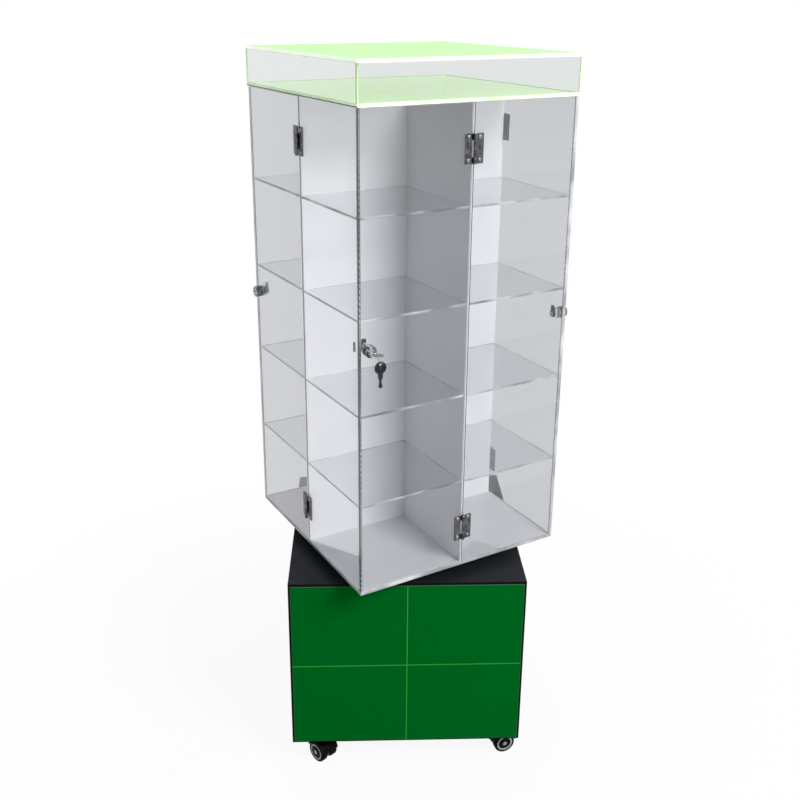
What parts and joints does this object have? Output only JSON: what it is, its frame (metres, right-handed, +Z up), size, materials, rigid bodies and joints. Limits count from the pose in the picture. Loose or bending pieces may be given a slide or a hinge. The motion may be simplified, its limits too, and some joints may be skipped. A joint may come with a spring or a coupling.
{
  "type": "revolving acrylic display cabinet",
  "caption": "Square revolving display tower of clear acrylic with locking doors, shelf tiers and a green header, on a turntable above a dark base cabinet with swivel casters.",
  "frame": {"origin": "on the floor, on the vertical axis that the tower turns about, under the middle of the base", "axes": "+Z up; the tower's four glazed faces look along -Y, +X, +Y and -X at rest, and the base is turned 28.3 degrees clockwise under it, seen from above"},
  "size_m": [0.5634, 0.5636, 1.269],
  "materials": {
    "board": "charcoal laminate board",
    "green_sheet": "gloss dark green acrylic",
    "stripe": "brighter green edge line",
    "zinc_steel": "zinc plated",
    "bearing_steel": "polished",
    "white_acrylic": "opaque white acrylic",
    "clear_acrylic": "clear polished acrylic",
    "green_acrylic": "fluorescent green acrylic",
    "nickel": "dark nickel plate",
    "chrome": "bright chrome",
    "caster_nylon": "black moulded nylon"
  },
  "bodies": {
    "base": {"base_top_board": "board", "base_bottom_board": "board", "base_wall_boards": "board", "base_front_sheet": "green_sheet", "base_front_cross": "stripe", "base_screws": "zinc_steel", "caster_plates": "zinc_steel", "turntable_lower_plate": "zinc_steel", "turntable_balls": "bearing_steel"},
    "tower": {"turntable_upper_plate": "zinc_steel", "turntable_disc": "board", "tower_floor": "white_acrylic", "partition_long": "white_acrylic", "partition_short": "white_acrylic", "fixed_panels": "clear_acrylic", "shelf_level_1": "clear_acrylic", "shelf_level_2": "clear_acrylic", "shelf_level_3": "clear_acrylic", "shelf_level_4": "clear_acrylic", "header_floor": "green_acrylic", "header_walls": "clear_acrylic", "header_top": "green_acrylic", "hinge_fixed_leaves": "nickel", "hinge_pins": "nickel", "tower_screws": "chrome"},
    "door_front": {"door_panel_front": "clear_acrylic", "door_leaves_front": "nickel", "door_fasteners_front": "chrome", "lock_housing_front": "chrome"},
    "door_right": {"door_panel_right": "clear_acrylic", "door_leaves_right": "nickel", "door_fasteners_right": "chrome", "lock_housing_right": "chrome"},
    "door_back": {"door_panel_back": "clear_acrylic", "door_leaves_back": "nickel", "door_fasteners_back": "chrome", "lock_housing_back": "chrome"},
    "door_left": {"door_panel_left": "clear_acrylic", "door_leaves_left": "nickel", "door_fasteners_left": "chrome", "lock_housing_left": "chrome"},
    "lock_front": {"lock_plug_front": "bearing_steel", "lock_cam_front": "nickel"},
    "lock_right": {"lock_plug_right": "bearing_steel", "lock_cam_right": "nickel"},
    "lock_back": {"lock_plug_back": "bearing_steel", "lock_cam_back": "nickel"},
    "lock_left": {"lock_plug_left": "bearing_steel", "lock_cam_left": "nickel"},
    "key": {"door_key": "chrome"},
    "ring": {"key_ring": "chrome"},
    "spare": {"spare_key": "nickel"},
    "caster_front_left": {"caster_fork_front_left": "caster_nylon"},
    "wheels_front_left": {"caster_wheels_front_left": "caster_nylon"},
    "caster_front_right": {"caster_fork_front_right": "caster_nylon"},
    "wheels_front_right": {"caster_wheels_front_right": "caster_nylon"},
    "caster_back_right": {"caster_fork_back_right": "caster_nylon"},
    "wheels_back_right": {"caster_wheels_back_right": "caster_nylon"},
    "caster_back_left": {"caster_fork_back_left": "caster_nylon"},
    "wheels_back_left": {"caster_wheels_back_left": "caster_nylon"}
  },
  "joints": [
    {"name": "tower_turn", "type": "hinge", "parent": "base", "child": "tower", "pos_m": [0, 0, 0.3955], "axis": [0, 0, 1], "continuous": true},
    {"name": "door_front_swing", "type": "hinge", "parent": "tower", "child": "door_front", "pos_m": [0, -0.2034, 0.8055], "axis": [0, 0, 1], "range_deg": [0, 160]},
    {"name": "door_right_swing", "type": "hinge", "parent": "tower", "child": "door_right", "pos_m": [0.2034, 0, 0.8055], "axis": [0, 0, 1], "range_deg": [0, 160]},
    {"name": "door_back_swing", "type": "hinge", "parent": "tower", "child": "door_back", "pos_m": [0, 0.2034, 0.8055], "axis": [0, 0, 1], "range_deg": [0, 160]},
    {"name": "door_left_swing", "type": "hinge", "parent": "tower", "child": "door_left", "pos_m": [-0.2034, 0, 0.8055], "axis": [0, 0, 1], "range_deg": [0, 160]},
    {"name": "lock_front_turn", "type": "hinge", "parent": "door_front", "child": "lock_front", "pos_m": [-0.184, -0.2, 0.839], "axis": [0, -1, 0], "range_deg": [0, 90]},
    {"name": "lock_right_turn", "type": "hinge", "parent": "door_right", "child": "lock_right", "pos_m": [0.2, -0.184, 0.839], "axis": [1, 0, 0], "range_deg": [0, 90]},
    {"name": "lock_back_turn", "type": "hinge", "parent": "door_back", "child": "lock_back", "pos_m": [0.184, 0.2, 0.839], "axis": [0, 1, 0], "range_deg": [0, 90]},
    {"name": "lock_left_turn", "type": "hinge", "parent": "door_left", "child": "lock_left", "pos_m": [-0.2, 0.184, 0.839], "axis": [-1, 0, 0], "range_deg": [0, 90]},
    {"name": "key_slide", "type": "slide", "parent": "lock_front", "child": "key", "axis": [0, -1, 0], "range_m": [0, 0.025]},
    {"name": "ring_swing", "type": "hinge", "parent": "key", "child": "ring", "pos_m": [-0.184, -0.23765, 0.8405], "axis": [0, -1, 0], "range_deg": [-25, 25]},
    {"name": "spare_swing", "type": "hinge", "parent": "ring", "child": "spare", "pos_m": [-0.184, -0.23765, 0.8284], "axis": [0, -1, 0], "range_deg": [-60, 60]},
    {"name": "caster_front_left_swivel", "type": "hinge", "parent": "base", "child": "caster_front_left", "pos_m": [-0.22486, -0.06746, 0.057], "axis": [0, 0, 1], "continuous": true},
    {"name": "wheels_front_left_roll", "type": "hinge", "parent": "caster_front_left", "child": "wheels_front_left", "pos_m": [-0.2206, -0.08495, 0.02], "axis": [0.9715, 0.2368, 0], "continuous": true},
    {"name": "caster_front_right_swivel", "type": "hinge", "parent": "base", "child": "caster_front_right", "pos_m": [0.06746, -0.22486, 0.057], "axis": [0, 0, 1], "continuous": true},
    {"name": "wheels_front_right_roll", "type": "hinge", "parent": "caster_front_right", "child": "wheels_front_right", "pos_m": [0.08505, -0.22869, 0.02], "axis": [0.213, 0.977, 0], "continuous": true},
    {"name": "caster_back_right_swivel", "type": "hinge", "parent": "base", "child": "caster_back_right", "pos_m": [0.22486, 0.06746, 0.057], "axis": [0, 0, 1], "continuous": true},
    {"name": "wheels_back_right_roll", "type": "hinge", "parent": "caster_back_right", "child": "wheels_back_right", "pos_m": [0.24274, 0.06956, 0.02], "axis": [-0.1167, 0.9932, 0], "continuous": true},
    {"name": "caster_back_left_swivel", "type": "hinge", "parent": "base", "child": "caster_back_left", "pos_m": [-0.06746, 0.22486, 0.057], "axis": [0, 0, 1], "continuous": true},
    {"name": "wheels_back_left_roll", "type": "hinge", "parent": "caster_back_left", "child": "wheels_back_left", "pos_m": [-0.08527, 0.22746, 0.02], "axis": [-0.1444, -0.9895, 0], "continuous": true}
  ]
}
